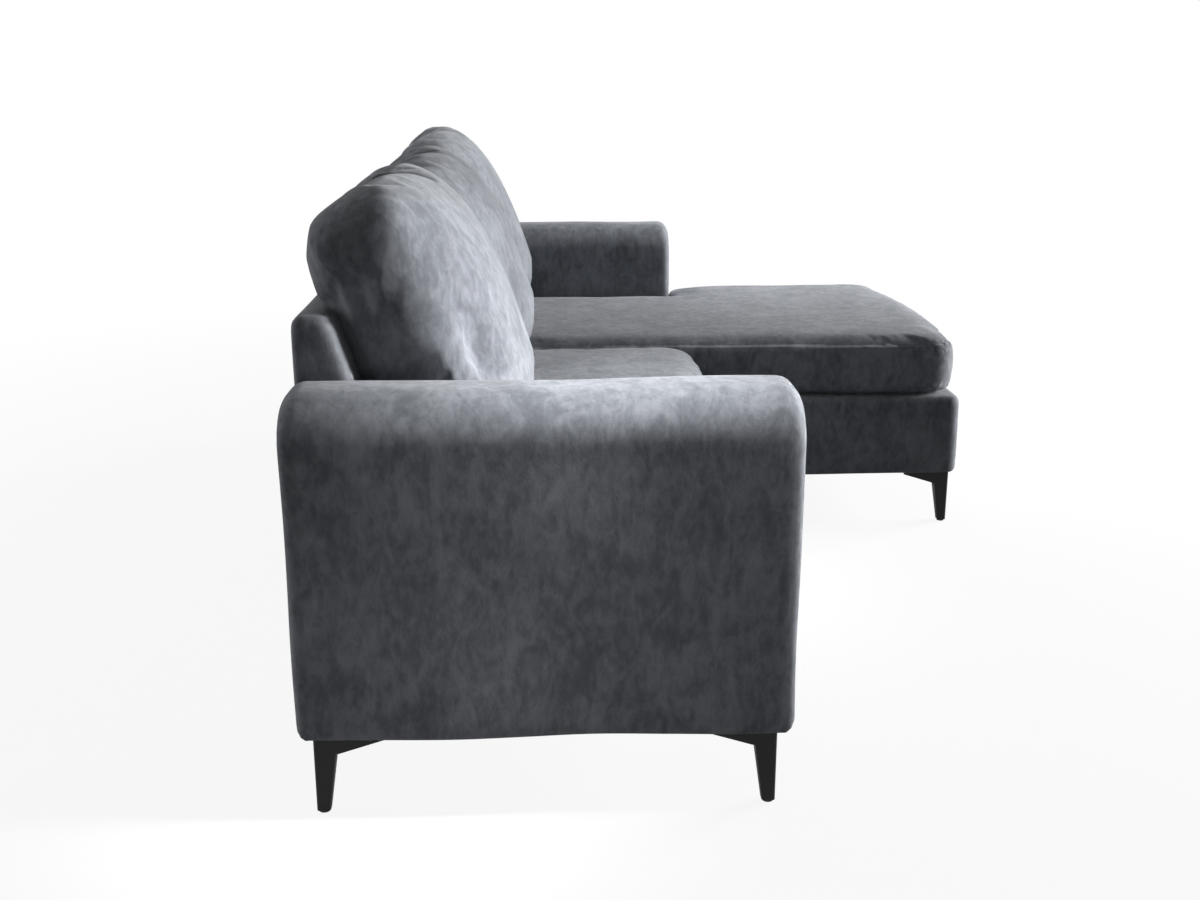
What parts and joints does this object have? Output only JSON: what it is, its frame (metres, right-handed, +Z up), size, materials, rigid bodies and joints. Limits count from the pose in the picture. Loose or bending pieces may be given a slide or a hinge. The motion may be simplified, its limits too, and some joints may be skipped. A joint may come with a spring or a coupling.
{
  "type": "corner sofa with chaise",
  "caption": "Upholstered corner sofa with rolled arms, a leaning back, loose seat and back cushions, a chaise base under an L-shaped cushion and tapered metal corner legs.",
  "frame": {"origin": "on the floor, under the middle of the sofa's box", "axes": "+X along the row to the sitter's left, -Y to the front where the sitter faces, +Z up"},
  "size_m": [2.245, 1.418, 0.9381],
  "materials": {
    "grey_velvet": "soft pile cloth with a mottled nap and a light sheen",
    "foam": "open foam and fibre",
    "webbing": "woven elastic strap",
    "black_lining": "thin matt non-woven cloth",
    "timber": "sawn and planed, unfinished",
    "black_steel": "matt black powder coat",
    "plain_steel": "zinc-plated",
    "black_plastic": "moulded, matt"
  },
  "bodies": {
    "sofa_frame": {"back_cover": "grey_velvet", "back_lower_rail": "timber", "back_padding": "foam", "back_top_rail": "timber", "back_uprights": "timber", "back_webbing": "webbing", "centre_support_leg": "black_steel", "frame_bolts": "plain_steel", "left_arm_bottom_rail": "timber", "left_arm_cover": "grey_velvet", "left_arm_padding": "foam", "left_arm_panels": "timber", "left_arm_posts": "timber", "left_arm_top_rail": "timber", "left_front_leg": "black_steel", "left_rear_leg": "black_steel", "leg_glides": "black_plastic", "leg_screws": "plain_steel", "right_arm_bottom_rail": "timber", "right_arm_cover": "grey_velvet", "right_arm_padding": "foam", "right_arm_panels": "timber", "right_arm_posts": "timber", "right_arm_top_rail": "timber", "right_front_leg": "black_steel", "right_rear_leg": "black_steel", "seat_cross_rails": "timber", "seat_deck_cover": "grey_velvet", "seat_deck_pad": "foam", "seat_dust_cover": "black_lining", "seat_end_rails": "timber", "seat_front_pad": "foam", "seat_front_rail": "timber", "seat_rear_rail": "timber", "seat_spring_clips": "plain_steel", "seat_springs": "plain_steel"},
    "seat_cushion_right": {"seat_cushion_right_core": "foam", "seat_cushion_right_cover": "grey_velvet"},
    "seat_cushion_middle": {"seat_cushion_middle_core": "foam", "seat_cushion_middle_cover": "grey_velvet"},
    "chaise_cushion": {"chaise_cushion_core": "foam", "chaise_cushion_cover": "grey_velvet"},
    "back_cushion_right": {"back_cushion_right_cover": "grey_velvet", "back_cushion_right_filling": "foam"},
    "back_cushion_middle": {"back_cushion_middle_cover": "grey_velvet", "back_cushion_middle_filling": "foam"},
    "back_cushion_left": {"back_cushion_left_cover": "grey_velvet", "back_cushion_left_filling": "foam"},
    "chaise_base": {"chaise_corner_blocks": "timber", "chaise_cover": "grey_velvet", "chaise_deck_board": "timber", "chaise_dust_cover": "black_lining", "chaise_front_panel": "timber", "chaise_left_panel": "timber", "chaise_leg_glides": "black_plastic", "chaise_leg_screws": "plain_steel", "chaise_legs": "black_steel", "chaise_padding": "foam", "chaise_rear_panel": "timber", "chaise_right_panel": "timber"}
  },
  "joints": [
    {"name": "chaise_base_pull", "type": "slide", "parent": "sofa_frame", "child": "chaise_base", "axis": [0, -1, 0], "range_m": [0, 0.6]},
    {"name": "chaise_cushion_pull", "type": "slide", "parent": "sofa_frame", "child": "chaise_cushion", "axis": [0, -1, 0], "range_m": [0, 0.5]},
    {"name": "seat_cushion_right_pull", "type": "slide", "parent": "sofa_frame", "child": "seat_cushion_right", "axis": [0, -1, 0], "range_m": [0, 0.5]},
    {"name": "seat_cushion_middle_pull", "type": "slide", "parent": "sofa_frame", "child": "seat_cushion_middle", "axis": [0, -1, 0], "range_m": [0, 0.5]},
    {"name": "back_cushion_right_lift", "type": "slide", "parent": "sofa_frame", "child": "back_cushion_right", "axis": [0, 0, 1], "range_m": [0, 0.35]},
    {"name": "back_cushion_middle_lift", "type": "slide", "parent": "sofa_frame", "child": "back_cushion_middle", "axis": [0, 0, 1], "range_m": [0, 0.35]},
    {"name": "back_cushion_left_lift", "type": "slide", "parent": "sofa_frame", "child": "back_cushion_left", "axis": [0, 0, 1], "range_m": [0, 0.35]}
  ]
}
